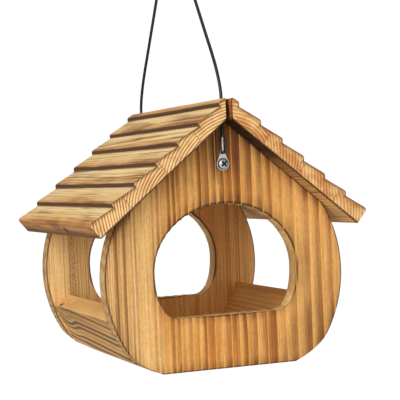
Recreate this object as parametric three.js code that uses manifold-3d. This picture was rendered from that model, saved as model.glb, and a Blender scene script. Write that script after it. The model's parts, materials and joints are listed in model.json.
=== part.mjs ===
// Hanging bird feeder: two round-sided gable panels with a feeding window, a tray of three boards
// between them, a shingled two-piece roof with an open ridge, and a coated steel wire to hang it by.
// Millimetres, +X across the gable, +Y to the back, +Z up, origin under the apex of the hanging loop.

import * as THREE from 'three';
import { mergeVertices } from 'three/addons/utils/BufferGeometryUtils.js';
import Module from 'manifold-3d';

const wasm = await Module();
wasm.setup();

// ---- Driving dimensions. Heights are above the base until the whole feeder is lowered at the end.
const GAP = 0.3; // clearance kept between touching pieces

const panelSpan = 184; // outside of the front panel to the outside of the back panel
const panelThickness = 14;
const panelRadius = 98.9; // the round sides
const panelCentreHeight = 72;
const panelFootHalf = 55.5;
const panelTurnIn = THREE.MathUtils.degToRad(31); // below the centre: the side leaves its circle here
const panelTurnInHandle = 14; // and bends in to the foot

const windowHalfWidth = 59.3;
const windowWidestHeight = 76;
const windowTopHeight = 127.7;
const windowSillHeight = 41.2;
const windowSillHalfWidth = 41;

const roofAngle = THREE.MathUtils.degToRad(39.3);
const roofApexHeight = 193; // where the two undersides would meet
const roofLength = 220;
const roofThickness = 14.4; // at the shingle noses
const ridgeHalfGap = 2.7;
const ridgeArrisRadius = 1;
const shingleCount = 7;
const shinglePitch = 22.75;
const shingleDrop = 3.2; // height of a shingle's riser
const shingleLean = 1.25; // how far the riser's foot lies down the slope from its nose
const noseRadius = 2.2;
const eaveNoseRadius = 3;

const sideBoardAngle = THREE.MathUtils.degToRad(61.5);
const sideBoardThickness = 17;
const sideBoardTop = new THREE.Vector2(94.3, 42.9); // outer upper corner
const sideBoardBevelHeight = 9.9; // the outer face stops here and is bevelled down to the foot
const sideBoardFoot = 57; // half width over the bevels at the base
const floorThickness = 14;

const dowelRadius = 3;
const boardDowelInPanel = 10;
const boardDowelInBoard = 14;
const roofDowelInRoof = 7.5;
const roofDowelInPanel = 10.5;
const roofDowelPlaces = [35, 95]; // along the slope from the ridge line

const wireDiameter = 2.5;
const loopApexHeight = 352.25;
const foldAxisHeight = 211; // the loop folds over the ridge about this line
const foldRoom = 2.2; // free length of wire at the fold

const lugRingHeight = 157.9; // centre of the ring terminal's eye
const lugRingRadius = 5.2;
const lugHoleRadius = 2.2;
const lugPlate = 0.9;
const barrelRadius = 2.35;
const barrelBore = 1.6;
const barrelFrom = 167.7;
const barrelTo = 178.3;
const wireEndBelowBarrel = 2.2;
const tongueHalfWidth = 1.9; // of the plate, where it enters the barrel
const tongueInBarrel = 1.5;
const tongueBelowBarrel = 1;

const screwHeadRadius = 4;
const screwHeadHeight = 2.3;
const screwDomeRadius = 1.4;
const screwShankRadius = 1.7;
const screwLength = 12;
const screwPointLength = 3;
const recessLength = 5.2;
const recessWidth = 1.1;
const recessDepth = 1.4;

const panelOuter = panelSpan / 2;
const panelInner = panelOuter - panelThickness;
const wireY = panelOuter + GAP + barrelRadius;

// ---- Materials, one for each kind of surface
function paint(color, roughness, metalness = 0) {
  return new THREE.MeshStandardMaterial({ color, roughness, metalness });
}
const panelWood = () => paint(0xc98f4a, 0.6);
const boardWood = () => paint(0xb98245, 0.65);
const roofWood = () => paint(0xd9b27c, 0.6);
const dowelWood = () => paint(0xd8b98a, 0.7);
const blackWire = () => paint(0x151515, 0.45);
const zinc = () => paint(0xb9bcc0, 0.35, 0.9);

const feeder = new THREE.Group();

function addPiece(name, geometry, material) {
  const mesh = new THREE.Mesh(geometry, material);
  mesh.name = name;
  feeder.add(mesh);
  return mesh;
}

// ---- Solids: cutting and joining
function toSolid(geometry) {
  const bare = geometry.clone();
  bare.deleteAttribute('normal');
  bare.deleteAttribute('uv');
  const merged = mergeVertices(bare, 1e-4);
  const triangles = [];
  for (let i = 0; i < merged.index.count; i += 3) {
    const [a, b, c] = [0, 1, 2].map((k) => merged.index.getX(i + k));
    if (a !== b && b !== c && a !== c) triangles.push(a, b, c);
  }
  const vertProperties = Float32Array.from(merged.attributes.position.array);
  const triVerts = Uint32Array.from(triangles);
  return new wasm.Manifold(new wasm.Mesh({ numProp: 3, vertProperties, triVerts }));
}

function toGeometry(solid) {
  const mesh = solid.getMesh();
  const geometry = new THREE.BufferGeometry();
  geometry.setAttribute('position', new THREE.BufferAttribute(Float32Array.from(mesh.vertProperties), 3));
  geometry.setIndex(Array.from(mesh.triVerts));
  return geometry;
}

function cut(geometry, tools) {
  let solid = toSolid(geometry);
  for (const tool of tools) solid = solid.subtract(toSolid(tool));
  return toGeometry(solid);
}

// A shape drawn in X and Z, carried from one Y to another.
function extrudeAlongY(shape, fromY, toY, curveSegments) {
  const depth = toY - fromY;
  const geometry = new THREE.ExtrudeGeometry(shape, { depth, bevelEnabled: false, curveSegments });
  geometry.rotateX(Math.PI / 2);
  geometry.translate(0, toY, 0);
  return geometry;
}

// A round bar between two points.
function bar(radius, from, to, sides) {
  const along = new THREE.Vector3().subVectors(to, from);
  const geometry = new THREE.CylinderGeometry(radius, radius, along.length(), sides);
  const upright = new THREE.Vector3(0, 1, 0);
  geometry.applyQuaternion(new THREE.Quaternion().setFromUnitVectors(upright, along.normalize()));
  const middle = new THREE.Vector3().addVectors(from, to).multiplyScalar(0.5);
  geometry.translate(middle.x, middle.y, middle.z);
  return geometry;
}

// ---- Roof plane: s runs down the slope from the ridge line, n stands up from the underside.
function roofPoint(s, n, side = 1) {
  const x = s * Math.cos(roofAngle) + n * Math.sin(roofAngle);
  const z = roofApexHeight - s * Math.sin(roofAngle) + n * Math.cos(roofAngle);
  return new THREE.Vector2(side * x, z);
}

// ---- Dowels. Each one knows the two bores it needs.
const dowelSides = 16;
const dowels = [];
function addDowel(name, centre, direction, firstDepth, secondDepth) {
  const unit = direction.clone().normalize();
  const end = (length) => centre.clone().addScaledVector(unit, length);
  dowels.push({
    name,
    pin: bar(dowelRadius, end(-secondDepth), end(firstDepth), dowelSides),
    bore: bar(dowelRadius + GAP, end(-secondDepth - GAP), end(firstDepth + GAP), dowelSides),
  });
}

const boardDown = new THREE.Vector2(-Math.cos(sideBoardAngle), -Math.sin(sideBoardAngle));
const boardInward = new THREE.Vector2(-Math.sin(sideBoardAngle), Math.cos(sideBoardAngle));
const sideBoardDowelPlaces = [10, 32]; // along the board from its upper edge
const floorDowelX = 30;

const ends = { front: -1, back: 1 };
const sides = { left: -1, right: 1 };

for (const [endName, endSign] of Object.entries(ends)) {
  const inwards = new THREE.Vector3(0, -endSign, 0);
  for (const [sideName, sideSign] of Object.entries(sides)) {
    const floorSpot = new THREE.Vector3(sideSign * floorDowelX, endSign * panelInner, floorThickness / 2);
    addDowel(`dowel_${endName}_floor_${sideName}`, floorSpot, inwards, boardDowelInBoard, boardDowelInPanel);
    sideBoardDowelPlaces.forEach((place, i) => {
      const spot = sideBoardTop.clone()
        .addScaledVector(boardInward, sideBoardThickness / 2)
        .addScaledVector(boardDown, place);
      const centre = new THREE.Vector3(sideSign * spot.x, endSign * panelInner, spot.y);
      const name = `dowel_${endName}_${sideName}_board_${i + 1}`;
      addDowel(name, centre, inwards, boardDowelInBoard, boardDowelInPanel);
    });
    roofDowelPlaces.forEach((place, i) => {
      const spot = roofPoint(place, 0, sideSign);
      const centre = new THREE.Vector3(spot.x, endSign * (panelOuter - panelThickness / 2), spot.y);
      const up = new THREE.Vector3(sideSign * Math.sin(roofAngle), 0, Math.cos(roofAngle));
      addDowel(`dowel_${endName}_${sideName}_roof_${i + 1}`, centre, up, roofDowelInRoof, roofDowelInPanel);
    });
  }
}

// The bores that a piece needs are those of the dowels whose names hold all the given words.
const boresFor = (...words) =>
  dowels.filter(({ name }) => words.every((word) => name.includes(word))).map(({ bore }) => bore);

// ---- Panels
function panelShape() {
  const turnX = panelRadius * Math.cos(panelTurnIn);
  const turnZ = panelCentreHeight - panelRadius * Math.sin(panelTurnIn);
  const bendX = turnX - panelTurnInHandle * Math.sin(panelTurnIn);
  const bendZ = turnZ - panelTurnInHandle * Math.cos(panelTurnIn);
  const apex = roofApexHeight - GAP / Math.cos(roofAngle);
  const roofDistance = (apex - panelCentreHeight) * Math.cos(roofAngle);
  const shoulderAngle = Math.PI / 2 - roofAngle - Math.acos(roofDistance / panelRadius);
  const shape = new THREE.Shape();
  shape.moveTo(-panelFootHalf, 0);
  shape.lineTo(panelFootHalf, 0);
  shape.quadraticCurveTo(bendX, bendZ, turnX, turnZ);
  shape.absarc(0, panelCentreHeight, panelRadius, -panelTurnIn, shoulderAngle);
  shape.lineTo(0, apex);
  shape.absarc(0, panelCentreHeight, panelRadius, Math.PI - shoulderAngle, Math.PI + panelTurnIn);
  shape.quadraticCurveTo(-bendX, bendZ, -panelFootHalf, 0);
  shape.holes.push(windowPath());
  return shape;
}

// Half an ellipse over a flat sill with soft corners.
function windowPath() {
  const path = new THREE.Path();
  const sideHandle = windowWidestHeight - 20;
  const sillHandle = 12;
  const rise = windowTopHeight - windowWidestHeight;
  const [side, sill, height] = [windowHalfWidth, windowSillHalfWidth, windowSillHeight];
  path.moveTo(side, windowWidestHeight);
  path.absellipse(0, windowWidestHeight, side, rise, 0, Math.PI);
  path.bezierCurveTo(-side, sideHandle, -sill - sillHandle, height, -sill, height);
  path.lineTo(sill, height);
  path.bezierCurveTo(sill + sillHandle, height, side, sideHandle, side, windowWidestHeight);
  return path;
}

for (const [endName, endSign] of Object.entries(ends)) {
  const fromY = endSign < 0 ? -panelOuter : panelInner;
  const blank = extrudeAlongY(panelShape(), fromY, fromY + panelThickness, 20);
  const pilotFrom = new THREE.Vector3(0, endSign * (panelOuter + 1), lugRingHeight);
  const pilotTo = new THREE.Vector3(0, endSign * (panelOuter - screwLength), lugRingHeight);
  const pilot = bar(screwShankRadius + GAP, pilotFrom, pilotTo, dowelSides);
  addPiece(`${endName}_panel`, cut(blank, [...boresFor(endName), pilot]), panelWood());
}

// ---- Tray boards between the panels
function sideBoardShape(sign) {
  const innerTop = sideBoardTop.clone().addScaledVector(boardInward, sideBoardThickness);
  const toHeight = (point, height) => point.x - (point.y - height) / Math.tan(sideBoardAngle);
  const outline = [
    [sideBoardTop.x, sideBoardTop.y],
    [innerTop.x, innerTop.y],
    [toHeight(innerTop, 0), 0],
    [sideBoardFoot, 0],
    [toHeight(sideBoardTop, sideBoardBevelHeight), sideBoardBevelHeight],
  ];
  return new THREE.Shape(outline.map(([x, z]) => new THREE.Vector2(sign * x, z)));
}

function floorShape() {
  const innerTop = sideBoardTop.clone().addScaledVector(boardInward, sideBoardThickness);
  const clear = GAP / Math.sin(sideBoardAngle);
  const halfAt = (height) => innerTop.x - (innerTop.y - height) / Math.tan(sideBoardAngle) - clear;
  const low = halfAt(0);
  const high = halfAt(floorThickness);
  const corners = [[-low, 0], [low, 0], [high, floorThickness], [-high, floorThickness]];
  return new THREE.Shape(corners.map(([x, z]) => new THREE.Vector2(x, z)));
}

const boardEnd = panelInner - GAP;
addPiece(
  'floor_board',
  cut(extrudeAlongY(floorShape(), -boardEnd, boardEnd, 1), boresFor('_floor_')),
  boardWood(),
);
for (const [sideName, sideSign] of Object.entries(sides)) {
  const blank = extrudeAlongY(sideBoardShape(sideSign), -boardEnd, boardEnd, 1);
  addPiece(`${sideName}_side_board`, cut(blank, boresFor(`_${sideName}_board_`)), boardWood());
}

// ---- Roof halves: seven shingles each, plumb at the ridge and square at the eave
function roofShape(side) {
  const at = (s, n) => roofPoint(s, n, side);
  const shape = new THREE.Shape();
  const faceRise = shingleDrop / (shinglePitch - shingleLean);
  const lineTo = (point) => shape.lineTo(point.x, point.y);
  const bendTo = (corner, end) => shape.quadraticCurveTo(corner.x, corner.y, end.x, end.y);

  // the plumb cut, and the top face that reaches it from the first nose
  const ridgeBottom = at(0, 0).setX(side * ridgeHalfGap);
  ridgeBottom.y -= ridgeHalfGap * Math.tan(roofAngle);
  const noseX = roofThickness * Math.sin(roofAngle);
  const back = (noseX - ridgeHalfGap) / (Math.cos(roofAngle) + faceRise * Math.sin(roofAngle));
  const ridgeTop = at(-back, roofThickness - faceRise * back);

  shape.moveTo(ridgeBottom.x, ridgeBottom.y);
  shape.lineTo(side * ridgeHalfGap, ridgeTop.y - ridgeArrisRadius);
  const pastRidge = -back + ridgeArrisRadius;
  bendTo(ridgeTop, at(pastRidge, roofThickness + faceRise * pastRidge));
  for (let k = 0; k < shingleCount; k += 1) {
    const s = k * shinglePitch;
    const last = k === shingleCount - 1;
    const radius = last ? eaveNoseRadius : noseRadius;
    lineTo(at(s - radius, roofThickness - faceRise * radius));
    if (last) {
      bendTo(at(s, roofThickness), at(s, roofThickness - radius));
      lineTo(at(s, 0));
    } else {
      const lean = (radius * shingleLean) / shingleDrop;
      bendTo(at(s, roofThickness), at(s + lean, roofThickness - radius));
      lineTo(at(s + shingleLean, roofThickness - shingleDrop));
    }
  }
  shape.closePath();
  return shape;
}

for (const [sideName, sideSign] of Object.entries(sides)) {
  const blank = extrudeAlongY(roofShape(sideSign), -roofLength / 2, roofLength / 2, 4);
  addPiece(`${sideName}_roof`, cut(blank, boresFor(`_${sideName}_roof_`)), roofWood());
}

for (const { name, pin } of dowels) addPiece(name, pin, dowelWood());

// ---- Ring terminals and their screws
function terminal(endSign) {
  const plateFrom = endSign < 0 ? -panelOuter - GAP - lugPlate : panelOuter + GAP;
  const outline = new THREE.Shape();
  const flare = Math.PI * 0.22; // the eye's circle turns into the tongue this far above its middle
  outline.moveTo(tongueHalfWidth, barrelFrom + tongueInBarrel);
  outline.lineTo(-tongueHalfWidth, barrelFrom + tongueInBarrel);
  outline.lineTo(-tongueHalfWidth, barrelFrom - tongueBelowBarrel);
  outline.absarc(0, lugRingHeight, lugRingRadius, Math.PI - flare, 2 * Math.PI + flare);
  outline.lineTo(tongueHalfWidth, barrelFrom - tongueBelowBarrel);
  const hole = new THREE.Path();
  hole.absarc(0, lugRingHeight, lugHoleRadius, 0, 2 * Math.PI);
  outline.holes.push(hole);
  const plate = toSolid(extrudeAlongY(outline, plateFrom, plateFrom + lugPlate, 12));
  const y = endSign * wireY;
  const point = (z) => new THREE.Vector3(0, y, z);
  const barrel = toSolid(bar(barrelRadius, point(barrelFrom), point(barrelTo), dowelSides));
  const boreEnd = tongueBelowBarrel + wireEndBelowBarrel; // the bore also clears the wire's end
  const bore = toSolid(bar(barrelBore, point(barrelFrom - boreEnd), point(barrelTo + boreEnd), dowelSides));
  return toGeometry(plate.add(barrel).subtract(bore));
}

function screw(endSign) {
  const headTop = screwLength + screwHeadHeight;
  const tip = 0.5;
  const profile = [
    [0, 0],
    [tip, 0],
    [screwShankRadius, screwPointLength],
    [screwShankRadius, screwLength],
    [screwHeadRadius, screwLength],
    [screwHeadRadius, headTop - screwDomeRadius],
    [screwHeadRadius - screwDomeRadius / 3, headTop - screwDomeRadius / 3],
    [screwHeadRadius - screwDomeRadius, headTop],
    [0, headTop],
  ].map(([radius, height]) => new THREE.Vector2(radius, height));
  const body = new THREE.LatheGeometry(profile, 20);
  const overcut = 1;
  const arms = [[recessLength, recessWidth], [recessWidth, recessLength]].map(([width, depth]) => {
    const arm = new THREE.BoxGeometry(width, recessDepth + overcut, depth);
    arm.translate(0, headTop + (overcut - recessDepth) / 2, 0);
    return arm;
  });
  const geometry = cut(body, arms);
  const headSeat = endSign * (panelOuter + lugPlate + 2 * GAP);
  geometry.rotateX(endSign < 0 ? Math.PI : 0);
  geometry.translate(0, headSeat - endSign * screwLength, lugRingHeight);
  return geometry;
}

for (const [endName, endSign] of Object.entries(ends)) {
  addPiece(`${endName}_ring_terminal`, terminal(endSign), zinc());
  addPiece(`${endName}_screw`, screw(endSign), zinc());
}

// ---- The wire: a loop above the ridge, and a straight drop to each terminal
function wireAlong(points, steps) {
  const radius = wireDiameter / 2;
  const section = new THREE.Shape();
  const sectionSides = 8;
  for (let i = 0; i < sectionSides; i += 1) {
    const angle = (2 * Math.PI * i) / sectionSides;
    const [x, y] = [radius * Math.cos(angle), radius * Math.sin(angle)];
    if (i === 0) section.moveTo(x, y);
    else section.lineTo(x, y);
  }
  section.closePath();
  const curve = new THREE.CatmullRomCurve3(points, false, 'centripetal');
  return new THREE.ExtrudeGeometry(section, { steps, bevelEnabled: false, extrudePath: curve });
}

// Y and height of the front strand, from the ridge up to the apex; the back strand mirrors it.
const strand = [
  [-wireY, foldAxisHeight], [-wireY + 0.2, 213], [-92.2, 221], [-87.2, 232], [-79.8, 244.5], [-71, 257.5],
  [-60, 274], [-49, 290.5], [-39.8, 304.5], [-30, 319.5], [-20.5, 333.5], [-12, 344.5], [-5.5, 350.2],
];
const loopPoints = [
  ...strand.map(([y, z]) => new THREE.Vector3(0, y, z)),
  new THREE.Vector3(0, 0, loopApexHeight),
  ...strand.map(([y, z]) => new THREE.Vector3(0, -y, z)).reverse(),
];
addPiece('wire_loop', wireAlong(loopPoints, 72), blackWire());

for (const [endName, endSign] of Object.entries(ends)) {
  const heights = [foldAxisHeight - foldRoom, 190, barrelFrom - wireEndBelowBarrel];
  const points = heights.map((z) => new THREE.Vector3(0, endSign * wireY, z));
  addPiece(`wire_${endName}_drop`, wireAlong(points, 8), blackWire());
}

// ---- Hang it: the origin is where a hook touches the underside of the loop's apex.
feeder.position.z = -(loopApexHeight - wireDiameter / 2);
feeder.updateMatrixWorld(true);

export default feeder;
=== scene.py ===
"""A hanging bird feeder of flame-treated pine, hung by a coated wire, in soft studio light.

Drawing dimensions are millimetres with heights above the base, as in the part's source; place() turns
them into the frame's metres.
"""

import json
import math

import bmesh
import bpy
from mathutils import Matrix, Vector


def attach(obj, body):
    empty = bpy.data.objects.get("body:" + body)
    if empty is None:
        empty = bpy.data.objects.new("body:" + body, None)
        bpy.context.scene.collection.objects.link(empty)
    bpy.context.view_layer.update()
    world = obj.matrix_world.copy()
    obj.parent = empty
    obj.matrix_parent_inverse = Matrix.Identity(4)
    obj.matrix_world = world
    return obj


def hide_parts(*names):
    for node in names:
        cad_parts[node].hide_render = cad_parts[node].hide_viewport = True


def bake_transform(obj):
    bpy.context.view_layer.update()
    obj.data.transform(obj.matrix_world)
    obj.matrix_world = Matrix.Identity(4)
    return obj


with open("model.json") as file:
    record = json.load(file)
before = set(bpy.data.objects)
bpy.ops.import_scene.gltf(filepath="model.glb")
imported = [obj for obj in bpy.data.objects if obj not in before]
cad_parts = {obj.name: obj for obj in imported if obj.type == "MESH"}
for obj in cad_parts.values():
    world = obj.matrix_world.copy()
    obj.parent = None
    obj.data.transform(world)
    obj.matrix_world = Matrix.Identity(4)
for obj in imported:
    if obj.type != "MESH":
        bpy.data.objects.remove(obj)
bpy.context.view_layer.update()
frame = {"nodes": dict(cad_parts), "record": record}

MM = 0.001
mounts = {mount["name"]: mount for mount in frame["record"]["mounts"]}
BASE = mounts["base"]["pos_m"][2]
scene = bpy.context.scene


def place(x, y, height):
    """A point drawn in millimetres above the base, in the frame."""
    return Vector((x * MM, y * MM, BASE + height * MM))


# ---- Driving dimensions
GAP = 0.3  # between neighbouring pieces
PANEL_OUTER = 92.0  # half of the span over both panels
PANEL_THICKNESS = 14.0
PANEL_INNER = PANEL_OUTER - PANEL_THICKNESS
PANEL_RADIUS = 98.9
PANEL_CENTRE = 72.0
FOOT_HALF = 55.5
TURN_IN = math.radians(31)  # the round side leaves its circle here
TURN_IN_HANDLE = 14.0
PANEL_EDGE = 0.5  # worn edge

WINDOW_HALF = 59.3
WINDOW_WIDEST = 76.0
WINDOW_TOP = 127.7
SILL_HEIGHT = 41.2
SILL_HALF = 41.0

ROOF_ANGLE = math.radians(39.3)
ROOF_APEX = 193.0
ROOF_END = 110.0
ROOF_THICKNESS = 14.4
RIDGE_GAP = 2.7  # half of it
RIDGE_ARRIS = 1.0
SHINGLES = 7
SHINGLE_PITCH = 22.75
SHINGLE_DROP = 3.2
SHINGLE_LEAN = 1.25
NOSE_RADIUS = 2.4
EAVE_RADIUS = 3.2
FOOT_FILLET = 1.2
TREAD_RISE = SHINGLE_DROP / (SHINGLE_PITCH - SHINGLE_LEAN)

BOARD_ANGLE = math.radians(61.5)
BOARD_THICKNESS = 17.0
BOARD_TOP = (94.3, 42.9)
BOARD_BEVEL_HEIGHT = 9.9
BOARD_FOOT = 57.0
FLOOR_THICKNESS = 14.0
BOARD_END = PANEL_INNER - GAP
WOOD_EDGE = 0.6

WIRE_RADIUS = 1.25
WIRE_Y = 94.65
FOLD_HEIGHT = 211.0
WIRE_STEPS = 6  # tube rings between two route points
WIRE_SIDES = 14

EYE_HEIGHT = 157.9
EYE_RADIUS = 5.2
EYE_HOLE = 2.2
EYE_PLATE = 0.9
PLATE_FACE = PANEL_OUTER + GAP
BARREL_FROM = 167.7
BARREL_TO = 178.3
BARREL_RADIUS = 2.35
BARREL_WALL = 0.75
WIRE_END = BARREL_FROM - 2.2

HEAD_RADIUS = 4.0
HEAD_HEIGHT = 2.3
HEAD_SEAT = PANEL_OUTER + EYE_PLATE + 0.6
SHANK_RADIUS = 1.6
SHANK_LENGTH = 11.5


# ---- Building materials
def srgb(red, green, blue):
    """A screen colour, 0 to 255, as the linear colour that shaders use."""
    def linear(channel):
        part = channel / 255
        return part / 12.92 if part <= 0.04045 else ((part + 0.055) / 1.055) ** 2.4

    return (linear(red), linear(green), linear(blue), 1.0)


class Signal:
    """A number that varies over a surface, and that sums and products can be made from."""

    def __init__(self, look, socket):
        self.look = look
        self.socket = socket

    def __add__(self, other):
        return self.look.math("ADD", self, other)

    def __radd__(self, other):
        return self.look.math("ADD", other, self)

    def __sub__(self, other):
        return self.look.math("SUBTRACT", self, other)

    def __rsub__(self, other):
        return self.look.math("SUBTRACT", other, self)

    def __mul__(self, other):
        return self.look.math("MULTIPLY", self, other)

    def __truediv__(self, other):
        return self.look.math("DIVIDE", self, other)

    def __abs__(self):
        return self.look.math("ABSOLUTE", self)


class Look:
    """A procedural material being made. x, y and z are the surface point in the frame, in metres."""

    def __init__(self, name, roughness, metallic=0.0, specular=0.5, colour=None):
        self.colour = colour
        self.material = bpy.data.materials.new(name)
        self.material.use_nodes = True
        self.tree = self.material.node_tree
        self.surface = self.tree.nodes["Principled BSDF"]
        self.surface.inputs["Roughness"].default_value = roughness
        self.surface.inputs["Metallic"].default_value = metallic
        self.surface.inputs["Specular IOR Level"].default_value = specular
        position = self.tree.nodes.new("ShaderNodeTexCoord").outputs["Object"]
        parts = self.node("ShaderNodeSeparateXYZ", {"Vector": position}).outputs
        self.x, self.y, self.z = (Signal(self, part) for part in parts)
        self.height = self.z - BASE

    def node(self, kind, inputs, **settings):
        made = self.tree.nodes.new(kind)
        for name, value in settings.items():
            setattr(made, name, value)
        for name, value in inputs.items():
            self.feed(made.inputs[name], value)
        return made

    def feed(self, socket, value):
        value = value.socket if isinstance(value, Signal) else value
        if isinstance(value, bpy.types.NodeSocket):
            self.tree.links.new(value, socket)
        else:
            socket.default_value = value

    def math(self, operation, *values):
        inputs = dict(enumerate(values))
        made = self.node("ShaderNodeMath", inputs, operation=operation)
        return Signal(self, made.outputs[0])

    def step(self, value, low, high):
        """0 at low and 1 at high, smoothly; low may be the larger."""
        inputs = {"Value": value, "From Min": low, "From Max": high}
        made = self.node("ShaderNodeMapRange", inputs, interpolation_type="SMOOTHSTEP")
        return Signal(self, made.outputs[0])

    def fade(self, distance, low, high):
        """The same for a distance in metres, with its limits in millimetres."""
        return self.step(distance, low * MM, high * MM)

    def noise(self, a, b, c, detail=2.0, roughness=0.5):
        """Noise about zero, with one feature to each unit of a, b and c."""
        point = self.node("ShaderNodeCombineXYZ", {"X": a, "Y": b, "Z": c}).outputs[0]
        inputs = {"Vector": point, "Scale": 1.0, "Detail": detail, "Roughness": roughness}
        return Signal(self, self.node("ShaderNodeTexNoise", inputs).outputs[0]) - 0.5

    def chance(self, value):
        """A steady random number from 0 to 1 for each value."""
        made = self.node("ShaderNodeTexWhiteNoise", {"W": value}, noise_dimensions="1D")
        return Signal(self, made.outputs["Value"])

    def mix(self, amount, first, second):
        """The first colour where the amount is 0, and the second where it is 1."""
        made = self.node("ShaderNodeMix", {}, data_type="RGBA", clamp_factor=True)
        for index, value in ((0, amount), (6, first), (7, second)):
            self.feed(made.inputs[index], value)
        return made.outputs[2]

    def paint(self, amount, colour):
        """Lay a colour over what is there, as strongly as the amount says."""
        self.colour = self.mix(amount, self.colour, colour)

    def tint(self, brightness):
        """Make the colour lighter or darker by a number about 1."""
        inputs = {"Color": self.colour, "Value": brightness}
        self.colour = self.node("ShaderNodeHueSaturation", inputs).outputs[0]

    def bump(self, height, distance):
        made = self.node("ShaderNodeBump", {"Height": height, "Distance": distance, "Strength": 1.0})
        self.feed(self.surface.inputs["Normal"], made.outputs[0])

    def finish(self):
        self.feed(self.surface.inputs["Base Color"], self.colour)
        return self.material


class Grain:
    """Growth rings about a heart line that runs along the grain. across, depth and along are in metres."""

    def __init__(self, look, across, depth, along, seed):
        self.look = look
        self.across = across
        self.depth = depth
        self.along = along
        self.seed = seed

    def wander(self, slow, quick):
        """How far the rings stray, in metres."""
        far = self.look.noise(self.across * 9, self.depth * 9, self.along * 2.4 + self.seed)
        near = self.look.noise(self.across * 70, self.depth * 70, self.along * 11 + self.seed)
        return far * slow + near * quick

    def rings(self, heart, pitch, stray):
        """The number of rings out from the heart."""
        a = self.across - heart[0]
        b = self.depth - heart[1]
        return (self.look.math("SQRT", a * a + b * b) + stray) / pitch

    def band(self, rings, start, full, floor):
        """Late wood: fades in through each ring and ends sharply, stronger in some rings than others."""
        phase = self.look.math("FRACT", rings)
        rise = self.look.step(phase, start, full)
        fall = self.look.step(phase, 1.0, 0.9)
        number = self.look.math("FLOOR", rings)
        return rise * fall * (floor + self.look.chance(number + self.seed) * (1 - floor))

    def fibres(self):
        """Fine streaks along the grain, about zero."""
        return self.look.noise(self.across * 1300, self.depth * 1300, self.along * 28, detail=3.0)

    def patches(self):
        """Slow changes of tone, about zero."""
        return self.look.noise(self.across * 26, self.depth * 26, self.along * 9 + self.seed)


# ---- Flame-treated pine
HONEY = srgb(236, 176, 98)
AMBER = srgb(206, 134, 64)
BROWN = srgb(136, 76, 34)
SCORCH = srgb(112, 64, 30)
# Char; also used for painted shade at the panel's shoulder and along the roof ends' lower edge.
CHAR_AND_SHADE = srgb(62, 34, 18)
# Soot-dark grey-brown; also used for painted shade in the treads' corners, and for a knot.
SOOT_AND_SHADE = srgb(62, 44, 34)


# ---- Panel wood
SHOULDER_HEIGHT = 123.0  # the round side meets the slope
EDGE_STREAKS = [(-89.0, 2.4), (-82.5, 1.8)]  # dark lines along the left edge: x and half width
INSIDE_STREAK = -74.0
BESIDE_LUG = -6.2


def stripe_count(across):
    """Rings across a panel, which get wider towards its right side. Works on numbers and on signals."""
    offset = 0.1275
    density = 18.0
    if isinstance(across, Signal):
        return across.look.math("LOGARITHM", across + offset, math.e) * density
    return math.log(across + offset) * density


def window_distance(look):
    """Metres outside the window's edge, nearly: an ellipse over a fuller curve."""
    fullness = 3.2
    mean_half = 42.0
    a = abs(look.x) / (WINDOW_HALF * MM)
    above = look.math("MAXIMUM", look.height - WINDOW_WIDEST * MM, 0.0) / ((WINDOW_TOP - WINDOW_WIDEST) * MM)
    below = look.math("MAXIMUM", WINDOW_WIDEST * MM - look.height, 0.0) / ((WINDOW_WIDEST - SILL_HEIGHT) * MM)
    upper = look.math("SQRT", a * a + above * above)
    powers = look.math("POWER", a, fullness) + look.math("POWER", below, fullness)
    lower = look.math("POWER", powers, 1 / fullness)
    is_low = look.math("GREATER_THAN", below, 0.0)
    return (upper * (1 - is_low) + lower * is_low - 1) * (mean_half * MM)


def outer_distance(look):
    """Metres inside the panel's outline, nearly."""
    up = look.height - PANEL_CENTRE * MM
    out = look.math("SQRT", look.x * look.x + up * up)
    from_side = PANEL_RADIUS * MM - out
    from_roof = (ROOF_APEX * MM - look.height) * math.cos(ROOF_ANGLE)
    from_roof = from_roof - abs(look.x) * math.sin(ROOF_ANGLE)
    above_shoulder = look.math("GREATER_THAN", look.height, SHOULDER_HEIGHT * MM)
    return look.math("MINIMUM", look.math("MINIMUM", from_side + above_shoulder, from_roof), look.height)


class PanelWood(Look):
    """The broad faces of a panel: stripes up the grain, and the distances to its cut edges."""

    def __init__(self, name, seed, inside):
        super().__init__(name, roughness=0.6, specular=0.18)
        self.seed = seed
        grain = Grain(self, self.x, self.y, self.z, seed)
        self.fibres = grain.fibres()
        self.across = self.x + grain.wander(0.007, 0.0010)
        self.blotches = self.noise(self.across * 34, seed + 3.0, self.z * 13)
        if inside:
            self.streaks = self.noise(self.across * 110, seed, self.z * 3.5, detail=3.0, roughness=0.6)
            self.rings = self.across * 430 + self.streaks * 2.0
        else:
            self.rings = stripe_count(self.across) + self.noise(self.across * 42, seed, self.z * 1.5) * 1.3
            self.streaks = self.noise(self.rings * 0.8, seed, self.z * 3.5, detail=3.0, roughness=0.6)
        fading = self.step(self.noise(self.across * 24, seed + 6.0, self.z * 7), -0.24, 0.1)
        self.band = grain.band(self.rings, start=0.1, full=0.65, floor=0.1) * (0.25 + fading * 0.75)
        self.tone = self.streaks - self.blotches * 0.6
        self.dark_streak = self.step(self.streaks + self.blotches * 0.5, 0.0, 0.26)
        self.outline = outer_distance(self)
        self.edge = self.math("MINIMUM", window_distance(self), self.outline)


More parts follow.
